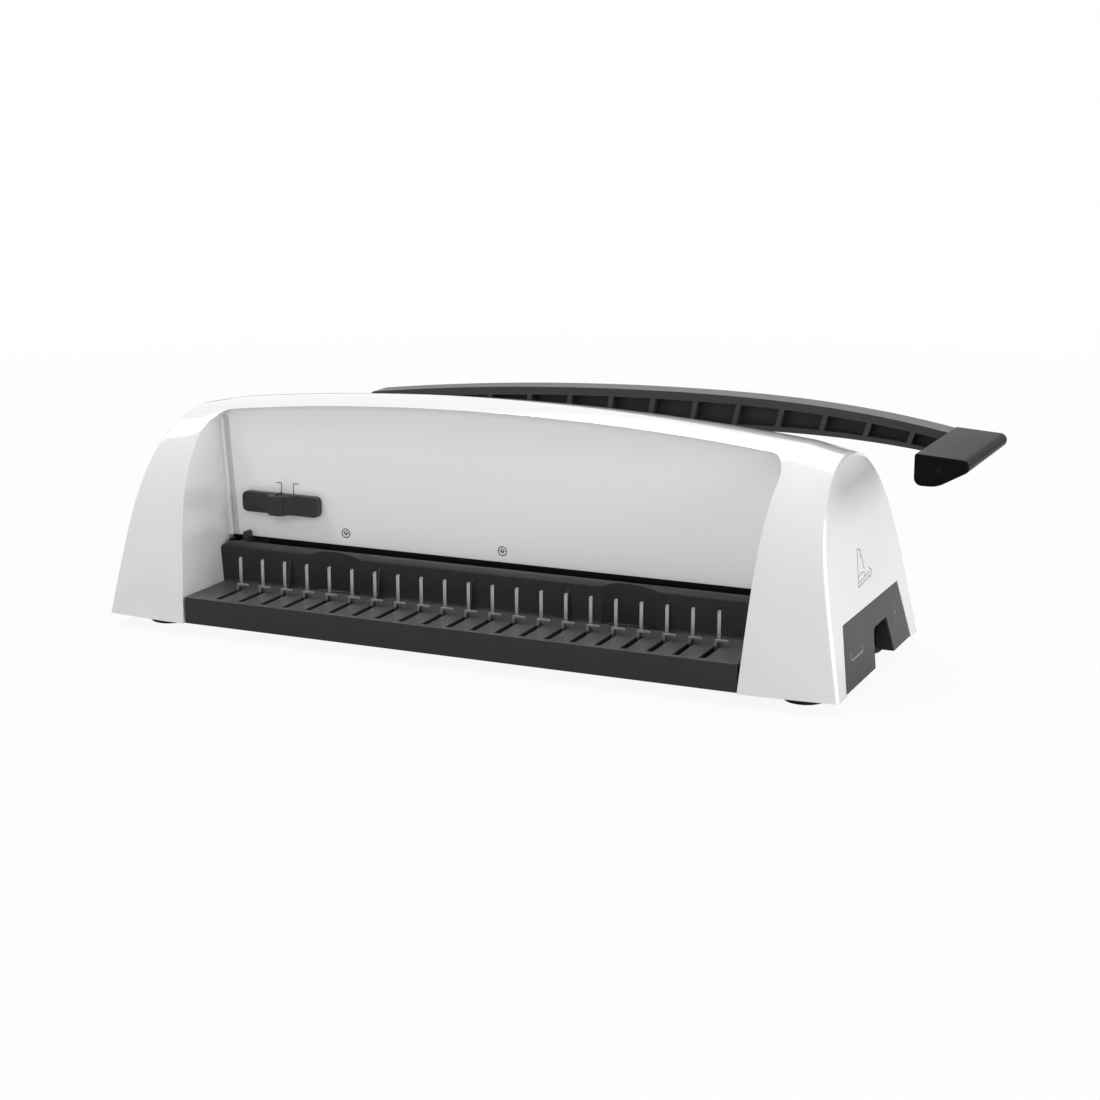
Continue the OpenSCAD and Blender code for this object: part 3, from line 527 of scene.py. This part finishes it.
# ---- Comb tray ----
# A charcoal moulding in polycarbonate blend: the deck that the comb lies on, its skirt, and a back
# wall whose ledge guides the paper. The deck is slotted for the tines and for the hooks' travel.
# the tray's edges and fillets carry wear and painted highlights, and its faces that look up carry painted top
# light
charcoal = plastic("charcoal_tray", (0.026, 0.0255, 0.024), 0.36, 1100, 0.1, 0.16, 0.16,
                   wear_and_highlight=0.7, wear_and_highlight_colour=(0.11, 0.108, 0.102), level=0.2, top_light=0.2)
pitch = 14.2875
tine_places = [(k - 10) * pitch for k in range(21)]
tray_half = recess_w - 0.5
skirt_y = -half_d + 1.6
tray_wall = 2.2
wall_y = -33.6
ledge_back = -28.8
deck_z = 14.9
deck_under = deck_z - tray_wall
wall_top = 35.7


def recess_x(z, gap=0.3):
    """Half width of the recess at height z, less a gap."""
    return recess_w + (recess_side - recess_w) * z / recess_top(recess_side) - gap


skirt_back = skirt_y + tray_wall
deck_profile = [(skirt_y, 0), (skirt_back, 0), (skirt_back, deck_under), (wall_y + 1, deck_under),
                (wall_y + 1, 17.4), (wall_y, 17.4), (wall_y - 0.25, 16.1), (wall_y - 0.9, 15.25),
                (wall_y - 2, deck_z), (skirt_y, deck_z)]
tray = prism("comb_tray_moulding", deck_profile, "x", -tray_half, tray_half)
ledge_top = wall_top + 2.2
ledge_x = recess_x(ledge_top)


def ledge_profile(cut):
    """The back wall from its end: behind a cut edge its ledge rises to the paper slot."""
    return [(wall_y, deck_under), (ledge_back, deck_under), (ledge_back, ledge_top),
            (wall_y + cut, wall_top + 0.8 * cut - 0.4), (wall_y, wall_top - 0.4)]


wall_end = [(0, -5), (0.9, -2.6), (3, -1.1), (7, 0)]
wall_outline = ([(-recess_x(deck_under), deck_under), (recess_x(deck_under), deck_under)]
                + [(ledge_x - a, ledge_top + b) for a, b in wall_end]
                + [(a - ledge_x, ledge_top + b) for a, b in reversed(wall_end)])
wall = prism("wall", wall_outline, "y", wall_y, ledge_back)
carve(wall, prism("ledge", ledge_profile(0.8), "x", -recess_w - 9, recess_w + 9), "INTERSECT")
bay_inner = 71
bay_outer = 107
carve(wall, prism("middle", ledge_profile(2.2), "x", 1 - bay_inner, bay_inner - 1), "UNION")
carve(tray, wall, "UNION")
hollow_end = 160
hollow_top = 33.5
hollow_outline = rect(wall_y + tray_wall, ledge_back + 1, -1, hollow_top)
for low, high in ((-hollow_end, -bay_outer - 2), (2 - bay_inner, bay_inner - 2), (bay_outer + 2, hollow_end)):
    carve(tray, prism("hollow", hollow_outline, "x", low, high))


def bay_plan(x):
    """A bay seen from above: it slants in at its left and sweeps round to a square step at its right."""
    deep = [(0, -4), (0, 0), (2.2, 1.35), (5, 2.9), (7.5, 3.6), (11, 3.9), (16, 3.8), (21, 3.3),
            (26, 2.4), (30, 1.3), (32, 0.6), (32, -4)]
    return [(x + a, wall_y + b) for a, b in deep]


for x in (-bay_outer, bay_inner):
    carve(tray, prism("bay", bay_plan(x), "z", deck_z + 0.4, wall_top + 9))
fin = [(wall_y + 0.3, deck_z - 0.5), (wall_y + 0.3, deck_z + 17),
       (wall_y - 1.0, deck_z + 16), (wall_y - 3.6, deck_z - 0.5)]
for k in (2, 6, 10, 14, 18):
    carve(tray, prism("fin", fin, "x", tine_places[k] - 5.4, tine_places[k] - 4.4), "UNION")
hook_x = -0.9
slot_y = (-72.8, -47.4)
slots = [rect(x + hook_x - 1.2, x + hook_x + 2.3, *slot_y) for x in tine_places]
carve(tray, prism("slots", slots, "z", 3, 24))
tine_hole_y = (-49.2, -47.3)
tine_holes = [rect(x - 1.3, x + 1.3, *tine_hole_y) for x in tine_places]
carve(tray, prism("tine_holes", tine_holes, "z", 3, 24))
soften(tray, 0.6, 3, 25)
finish_with(tray, charcoal)
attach(tray, "machine")
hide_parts("comb_tray")

# ---- Tines and hooks ----
# The tines are stamped from bright spring steel, with coined round tops, and stand in a bar below the
# deck. In front of each, a hook bent from square wire rises through the slot with its foot to the right.


def steel(name, colour, roughness, brush=(60, 60, 900), stains=0.06):
    """Metal with fine drawn lines along one way, and a faint uneven shade from handling."""
    material = bpy.data.materials.new(name)
    material.use_nodes = True
    tree = material.node_tree
    surface = tree.nodes["Principled BSDF"]
    surface.inputs["Metallic"].default_value = 1
    place = add(tree, "TexCoord")
    stretch = add(tree, "Mapping", {"Vector": (place, "Object"), "Scale": brush})
    lines = add(tree, "TexNoise", {"Vector": (stretch, 0), "Scale": 8, "Detail": 4, "Roughness": 0.7})
    skin = grained(tree, colour, 700, stains * 3, roughness, 0.18)
    mottled = add(tree, "Math", {0: (lines, 0), 1: 0.16, 2: -0.08}, operation="MULTIPLY_ADD")
    gloss = add(tree, "Math", {0: (skin, "Roughness"), 1: (mottled, 0)}, operation="ADD")
    tree.links.new(skin.outputs["Colour"], surface.inputs["Base Color"])
    tree.links.new(gloss.outputs[0], surface.inputs["Roughness"])
    relief = add(tree, "Bump", {"Height": (lines, 0), "Strength": 0.08, "Distance": 0.0001})
    tree.links.new(relief.outputs[0], surface.inputs["Normal"])
    return material


bright_steel = steel("bright_steel", (0.40, 0.40, 0.39), 0.3, (900, 900, 60))
tine_w = 2.0
tine_y = (-48.9, -47.7)
tine_top = 33.8


def round_top(x, w, low, high, steps=8):
    """A blade's outline with a half round top."""
    r = w / 2
    angles = [math.pi * k / steps for k in range(steps + 1)]
    top = [(x + r * math.cos(t), high - r + r * math.sin(t)) for t in angles]
    return [(x + r, low)] + top + [(x - r, low)]


tines = prism("tine_blades", [round_top(x, tine_w, deck_under, tine_top) for x in tine_places], "y", *tine_y)
dimples = [round_top(x, 1.0, tine_top - 2.0, tine_top - 0.55) for x in tine_places]
carve(tines, prism("dimples", dimples, "y", tine_y[0] - 1, tine_y[0] + 0.3))
soften(tines, 0.22, 2, 30)
finish_with(tines, bright_steel)
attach(tines, "machine")
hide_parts("comb_tines")

hook_w = 1.6
hook_low = 4.3
hook_bend = 18.3
hook_len = 7
hook_y = (-50.9, -49.5)


def hook_outline(x):
    """A hook from the front: a stem with a tight bend, and a foot with a round end."""
    w = hook_w / 2
    bend = [(x - w + 0.9 * (1 - math.sin(t)), hook_bend + w - 0.9 * (1 - math.cos(t)))
            for t in (math.pi / 2, math.pi / 3, math.pi / 6, 0)]
    tip = [(x + hook_len - w + w * math.cos(t), hook_bend + w * math.sin(t))
           for t in (math.pi * k / 8 - math.pi / 2 for k in range(9))]
    inner = [(x + w + 0.5, hook_bend - w), (x + w + 0.1, hook_bend - w - 0.1), (x + w, hook_bend - w - 0.5)]
    return [(x - w, hook_low)] + bend + list(reversed(tip)) + inner + [(x + w, hook_low)]


hooks = prism("wire_hooks", [hook_outline(x + hook_x) for x in tine_places], "y", *hook_y)
soften(hooks, 0.35, 3, 30)
finish_with(hooks, bright_steel)
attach(hooks, "hook_slide")
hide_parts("hooks")

# ---- Lever arm ----
# A long arched beam in glass-filled nylon, dark grey. Ribs and rims stand round open pockets in its
# front face, as a mould leaves them. Its left end is a hub on the pivot shaft.
# its edges and fillets carry wear and painted highlights
lever_grey = plastic("lever_grey", (0.05, 0.0492, 0.048), 0.42, 1000, 0.14, 0.16, 0.14,
                     wear_and_highlight=0.6, wear_and_highlight_colour=(0.15, 0.148, 0.145), level=0.16)
pivot = (-158, 66)
hub_r = 15
neck_x = -100
rib_pitch = 24.5
rim_top = 4.4
rim_low = 2.5
pocket_deep = 9


def touch(point, r, side):
    """Where a line from a point touches the hub's circle."""
    far = math.hypot(point[0] - pivot[0], point[1] - pivot[1])
    a = math.atan2(point[1] - pivot[1], point[0] - pivot[0]) + side * math.acos(r / far)
    return pivot[0] + r * math.cos(a), pivot[1] + r * math.sin(a)


def disc(centre, r, turns=64):
    angles = [2 * math.pi * k / turns for k in range(turns)]
    return [(centre[0] + r * math.cos(t), centre[1] + r * math.sin(t)) for t in angles]


def rib_lean(x, z):
    return x + (z - 120) * (x + 90) / 890


def pocket(a, b, steps=6):
    """An open pocket between two ribs that start at a and b, with the rims above and below it."""
    xs = [a + (b - a) * k / steps for k in range(steps + 1)]
    low = [(rib_lean(x, arm_low(x) + rim_low), arm_low(x) + rim_low) for x in xs]
    leant = [rib_lean(x, arm_top(x) - rim_top) for x in reversed(xs)]
    return low + [(x, arm_top(x) - rim_top) for x in leant]


beam = [neck_x + (arm_end - neck_x) * k / 60 for k in range(61)]
arm_outline = [(x, arm_top(x)) for x in beam] + [(x, arm_low(x)) for x in reversed(beam)]
upper = touch((neck_x, arm_top(neck_x)), hub_r, 1)
lower = touch((neck_x, arm_low(neck_x)), hub_r, -1)
arm = prism("lever_beam", [upper] + arm_outline + [lower], "y", arm_y, arm_back)
carve(arm, prism("hub", disc(pivot, hub_r), "y", arm_y, arm_back), "UNION")
rib_t = 2.5
first_rib = -1 - 4 * rib_pitch
pockets = []
for k in range(14):
    a = first_rib + k * rib_pitch + rib_t / 2
    pockets.append(pocket(a, min(a + rib_pitch - rib_t, arm_end - 3.5)))
carve(arm, prism("pockets", pockets, "y", arm_y - 1, arm_y + pocket_deep))
gear_room_r = 22.4
gear_room_back = 39.5
hub_bore_r = 8
carve(arm, prism("gear_room", disc(pivot, gear_room_r), "y", arm_y - 1, gear_room_back))
carve(arm, prism("bore", disc(pivot, hub_bore_r), "y", arm_y - 1, arm_back + 1))
soften(arm, 0.7, 3, 28)
finish_with(arm, lever_grey)
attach(arm, "handle")
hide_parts("handle_arm")

# ---- Grip ----
# A near-black bar across the lever's end, moulded in one with a flat top, a round nose for the palm
# and a curved underside. A screw in its front face draws it onto the lever's tongue.
# its edges carry wear and painted highlights
grip_black = plastic("grip_black", (0.007, 0.0068, 0.0065), 0.26, 1300, 0.05, 0.15, 0.1,
                     wear_and_highlight=0.5, wear_and_highlight_colour=(0.14, 0.137, 0.133), level=0.018)
grip_top = arm_top(arm_end) + 0.6
grip_w = 27.5
grip_h = 16
grip_long = 83
grip_front = arm_back - grip_long
screw_place = (arm_end + 12, grip_top - 7.4)


def turn(centre, r, start, end, steps):
    """A round stretch of an outline, from one angle to another in degrees."""
    angles = [math.radians(start + (end - start) * k / steps) for k in range(steps + 1)]
    return [(centre[0] + r * math.cos(t), centre[1] + r * math.sin(t)) for t in angles]


grip_outline = (turn((arm_end + 1.2, grip_top - 1.2), 1.2, 180, 86, 4)
                + turn((arm_end + grip_w - 3.64, grip_top - 5.1), 3.6, 86, -58, 12)
                + turn((arm_end + 8, grip_top - grip_h + 14), 14, -58, -90, 6)
                + turn((arm_end + 4, grip_top - grip_h + 4), 4, -90, -180, 6))
grip = prism("cross_grip", grip_outline, "y", grip_front, arm_back)
carve(grip, prism("screw_hole", disc(screw_place, 1.6, 32), "y", grip_front - 1, grip_front + 16))
soften(grip, 0.9, 4, 38)
finish_with(grip, grip_black)
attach(grip, "handle")
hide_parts("handle_grip")

# ---- Waste drawer ----
# A tray below the punches catches the paper chips. Its charcoal end panel closes the cover's mouth,
# and a notch in its lower edge gives the fingers room to pull.
# its edges carry wear and painted highlights
end_charcoal = plastic("end_charcoal", (0.024, 0.0235, 0.0225), 0.38, 1200, 0.08, 0.12, 0.1,
                       wear_and_highlight=0.5, wear_and_highlight_colour=(0.12, 0.118, 0.115), level=0.3)
end_half = 60.8
end_low = 0.4
end_top = 33
end_face = half_w - 0.2
end_in = 204
top_half = end_half - end_slope * end_top
notch_h = 20
notch = [(-7.2, end_low), (-1.9, 16.6), (-0.4, 19.1), (2.2, notch_h), (22.9, notch_h), (28.1, end_low)]
face_outline = ([(-end_half + 0.5, end_low)] + notch
                + [(end_half - 0.5, end_low), (top_half, end_top), (-top_half, end_top)])
end_panel = prism("drawer_end", face_outline, "x", end_in, half_w + 1)
lean_h = 45
lean = [(end_face, -5), (end_face + 20, -5), (end_face + 20, lean_h),
        (end_face - end_lean * lean_h, lean_h), (end_face, 0)]
carve(end_panel, prism("outer_lean", lean, "y", -half_d, half_d))
soften(end_panel, 0.6, 3, 28)
finish_with(end_panel, end_charcoal)
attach(end_panel, "chip_drawer")
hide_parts("chip_tray_panel")
finish_with(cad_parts["chip_tray"], end_charcoal)

# a flange stands out a little behind the end panel and closes the joint round it; its charcoal also stands in
# for the shade in the joint, as painted shade
rim = 0.35
flange_low = 0.6
flange_notch = [(-8, flange_low), (-8, notch_h + 1), (29, notch_h + 1), (29, flange_low)]
flange_outline = ([(-end_half - rim, flange_low)] + flange_notch
                  + [(end_half + rim, flange_low), (top_half + rim, end_top + 0.3),
                     (-top_half - rim, end_top + 0.3)])
flange = prism("drawer_shade_flange", flange_outline, "x", end_in + 0.1, end_in + 2.2)
finish_with(flange, end_charcoal)
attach(flange, "chip_drawer")


def on_end(name, cells, reach, material, body):
    """Ink on a face that leans with the body's right end. Each cell is a (y, z) outline."""
    made = prism(name, cells, "x", 0, 1)
    for v in made.data.vertices:
        z = (v.co.z - floor_gap) * 1000
        outer_side = v.co.x - mm(0, 0, 0).x > 0.0005
        out = ink_lift if outer_side else -0.03
        v.co.x = mm(reach - end_lean * z + out, 0, 0).x
    finish_with(made, material)
    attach(made, body)


pale_ink = plastic("pale_ink", (0.33, 0.33, 0.32), 0.6, 1500, 0.03, 0.1, 0.05)
scale_frame = stroke([(-43.5, 18.6), (-43.5, 14), (-24, 14), (-24, 17)], 0.45)
scale_middle = stroke([(-33.7, 14), (-33.7, 15.4)], 0.35)
scale_left = stroke([(-38.6, 14), (-38.6, 15)], 0.35)
scale_right = stroke([(-28.8, 14), (-28.8, 15)], 0.35)
scale_mark = scale_frame + scale_middle + scale_left + scale_right
on_end("drawer_scale_mark", scale_mark, end_face, pale_ink, "chip_drawer")
arrow_mark = (stroke([(39, 14), (39, 16)], 0.5) + stroke([(37.6, 20), (39, 18), (40.4, 20)], 0.4)
              + stroke([(39, 22), (39, 24)], 0.4))
on_end("drawer_arrow_mark", arrow_mark, end_face, pale_ink, "chip_drawer")
grey_ink = plastic("grey_ink", (0.16, 0.16, 0.16), 0.6, 1500, 0.03, 0.1, 0.05)
lever_sign = (stroke([(-9.5, 64), (-16.2, 45)], 0.5) + stroke([(-8.8, 63.2), (-4.4, 62), (-7, 57.9)], 0.5)
              + stroke([(-5.8, 61.6), (-3.4, 56.7), (-2.7, 51.6)], 0.6)
              + stroke([(-15.1, 49.4), (-9.1, 50.9), (-3.9, 50.3), (-3.4, 47.9)], 0.5)
              + stroke([(-16.2, 45), (5, 46.8)], 0.5) + stroke([(-15.6, 46.8), (5, 48.8)], 0.4)
              + stroke([(4.8, 50.8), (9.2, 48.6), (4.5, 45.2)], 0.6))
on_end("lever_sign", lever_sign, half_w, grey_ink, "machine")

# ---- Selector ----
# A charcoal slider with a raised thumb ridge and a small pointer. It sets the edge guide, a peg that
# stands at the left of the paper slot.
# its edges carry wear and painted highlights
knob_grey = plastic("knob_grey", (0.03, 0.0295, 0.0285), 0.36, 1200, 0.08, 0.12, 0.12,
                    wear_and_highlight=0.7, wear_and_highlight_colour=(0.13, 0.128, 0.125), level=0.25)
knob_x = -130.5
knob_z = 60.4
knob_w = 49.8
knob_h = 11.7
knob_face = -panel_y - 0.3
knob_t = 4
knob_corner = 3
plate_outline = []
for cx, cz, start in ((1, 1, 90), (1, -1, 0), (-1, -1, -90), (-1, 1, -180)):
    corner = (knob_x + cx * (knob_w / 2 - knob_corner), knob_z + cz * (knob_h / 2 - knob_corner))
    plate_outline += turn(corner, knob_corner, start, start - 90, 5)
knob = prism("selector_slider", plate_outline, "y", knob_face - knob_t, knob_face)
ridge_x = -130.6
ridge_low = 0.2 - knob_t
ridge_top = [(-8.5, ridge_low), (-5.5, -7), (-4.4, -9.4), (-2.8, -10), (2.6, -10), (4.0, -9.2), (5.0, -7),
             (9.5, ridge_low)]
ridge_outline = [(ridge_x + a, knob_face + b) for a, b in ridge_top]
peak = knob_z + knob_h / 2
foot = knob_z - knob_h / 2
carve(knob, prism("ridge", ridge_outline, "z", foot + 0.3, peak - 0.3), "UNION")
pointer = [(ridge_x - 2, peak - 1), (ridge_x + 0.2, peak + 1.3), (ridge_x + 2.4, peak - 1)]
carve(knob, prism("pointer", pointer, "y", knob_face - 7, knob_face - 2), "UNION")
carve(knob, prism("stem", rect(-133.5, -126.5, 58.2, 62.6), "y", knob_face - 0.1, -17.2), "UNION")
soften(knob, 0.8, 4, 24)
finish_with(knob, knob_grey)
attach(knob, "selector")
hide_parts("selector_knob")

peg_x = -153.2
peg_r = 1.7
peg_low = ledge_top + 0.3
peg_top = turn((peg_x, peg_low + 3.2), peg_r, 180, 0, 8)
peg_outline = [(peg_x - peg_r, peg_low)] + peg_top + [(peg_x + peg_r, peg_low)]
peg = prism("guide_peg", peg_outline, "y", ledge_back + 2.2, -panel_y - 0.8)
soften(peg, 0.5, 3, 24)
finish_with(peg, knob_grey)
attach(peg, "selector")
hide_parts("edge_guide")
finish_with(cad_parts["selector_link"], knob_grey)

# ---- Feet and floor ----
# Four round feet in black rubber under a charcoal moulded floor plate, which screws up into the cover.
# A small rubber bumper at the back of the cover stops the raised lever.
rubber = plastic("black_rubber", (0.018, 0.018, 0.018), 0.75, 600, 0.3, 0.15, 0.08)
for node in ("feet", "handle_bumper"):
    finish_with(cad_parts[node], rubber)
finish_with(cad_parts["base_plate"], charcoal)

# ---- Punch works, shaft and gear ----
# Blackened frames and die plates, zinc-plated pressed plates, ground punches and rods, and a bronze bush
# on the pivot. They show only under the lever, through the paper slot and when the drawer is out.
zinc = steel("zinc_plate", (0.47, 0.48, 0.49), 0.38, (300, 60, 300), 0.1)
ground = steel("ground_steel", (0.58, 0.58, 0.57), 0.22, (60, 900, 900), 0.05)
bronze = steel("bearing_bronze", (0.42, 0.26, 0.11), 0.34, (400, 60, 400), 0.12)
oxide = steel("black_oxide_steel", (0.018, 0.018, 0.019), 0.5, (300, 60, 300), 0.12)
finishes = [
    (oxide, "left_frame right_frame die_plate stripper_plate paper_stop grip_screw cover_screws"),
    (zinc, "chip_chute slide_beam front_bearing_plate rear_bearing_plate spacer_tube cam_plate rack"),
    (zinc, "sector_gear punch_bar hook_plate hook_drive_post"),
    (ground, "guide_rods guide_studs punch_pins punch_followers hook_follower pivot_shaft tine_bar"),
    (ground, "shaft_clips"),
    (bronze, "hub_bush thrust_washer")]
for metal, nodes in finishes:
    for node in nodes.split():
        finish_with(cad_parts[node], metal)

# ---- Floor, backdrop and light ----
# A plain white sweep with soft boxes above, in front and to the right. Camera rays see the sweep as
# white, and it keeps a faint shadow of the machine.
floor_half = 8
sheet = bmesh.new()
corners = ((-1, -1), (1, -1), (1, 1), (-1, 1))
sheet.faces.new([sheet.verts.new((x * floor_half, y * floor_half, 0)) for x, y in corners])
floor = piece("studio_floor", sheet)
white_floor = bpy.data.materials.new("studio_white")
white_floor.use_nodes = True
paint = white_floor.node_tree
paint.nodes.clear()
matt = add(paint, "BsdfDiffuse", {"Color": (0.75, 0.75, 0.75, 1)})
glow = add(paint, "Emission", {"Color": (1, 1, 1, 1), "Strength": 1.0})
floor_rays = add(paint, "LightPath")
spot = add(paint, "TexCoord")
reach = add(paint, "VectorMath", {0: (spot, "Object")}, operation="LENGTH")
fade = add(paint, "MapRange", {"Value": (reach, "Value"), "From Min": 0.3, "From Max": 1.5, "To Min": 0.92})
share = add(paint, "Math", {0: (floor_rays, "Is Camera Ray"), 1: (fade, 0)}, operation="MULTIPLY")
mixed = add(paint, "MixShader", {0: (share, 0), 1: (matt, 0), 2: (glow, 0)})
add(paint, "OutputMaterial", {"Surface": (mixed, 0)})
finish_with(floor, white_floor)

world = bpy.data.worlds.new("studio")
bpy.context.scene.world = world
world.use_nodes = True
air = world.node_tree
air.nodes.clear()
rays = add(air, "LightPath")
seen = add(air, "Math", {0: (rays, "Is Camera Ray"), 1: (rays, "Is Glossy Ray")}, operation="MAXIMUM")
shown = add(air, "Math", {0: (seen, 0), 1: (rays, "Is Transmission Ray")}, operation="MAXIMUM")
level = add(air, "MapRange", {"Value": (shown, 0), "To Min": 0.45})
sky = add(air, "Background", {"Color": (1, 1, 1, 1), "Strength": (level, 0)})
add(air, "OutputWorld", {"Surface": (sky, 0)})


def soft_box(name, place, size, power, aim=(0, 0, 0.05), lights=True, mirrored=False):
    """A rectangular lamp that faces a point. It lights the scene, or shows in glossy faces, or both."""
    lamp = bpy.data.lights.new(name, "AREA")
    lamp.shape = "RECTANGLE"
    lamp.size, lamp.size_y = size
    lamp.energy = power
    holder = bpy.data.objects.new(name, lamp)
    bpy.context.scene.collection.objects.link(holder)
    holder.location = place
    holder.rotation_euler = (Vector(aim) - Vector(place)).to_track_quat("-Z", "Y").to_euler()
    holder.visible_diffuse = lights
    holder.visible_glossy = mirrored


soft_box("key_box", (-0.8, -0.3, 1.4), (0.4, 0.4), 9)
soft_box("top_box", (0.35, 0.3, 1.3), (2.0, 0.8), 4.5, (0.35, 0.3, 0))
soft_box("front_box", (0.2, -1.5, 0.9), (1.2, 0.7), 3.8)
soft_box("right_box", (1.5, 0.0, 0.6), (1.2, 0.5), 12)

# the cards light nothing and show only in glossy faces, as the bright patches along the arch and shoulders
card = {"lights": False, "mirrored": True}
soft_box("overhead_card", (-0.6, 0.67, 1.3), (2.6, 0.86), 21, (-0.6, 0.67, 0), **card)
soft_box("overhead_card_right", (-0.1, 1.7, 1.3), (1.6, 1.2), 16, (-0.1, 1.7, 0), **card)
soft_box("right_card", (1.6, 0.0, 0.6), (2.0, 1.2), 30, (0, 0, 0.6), **card)
bpy.context.scene.view_settings.view_transform = "Standard"
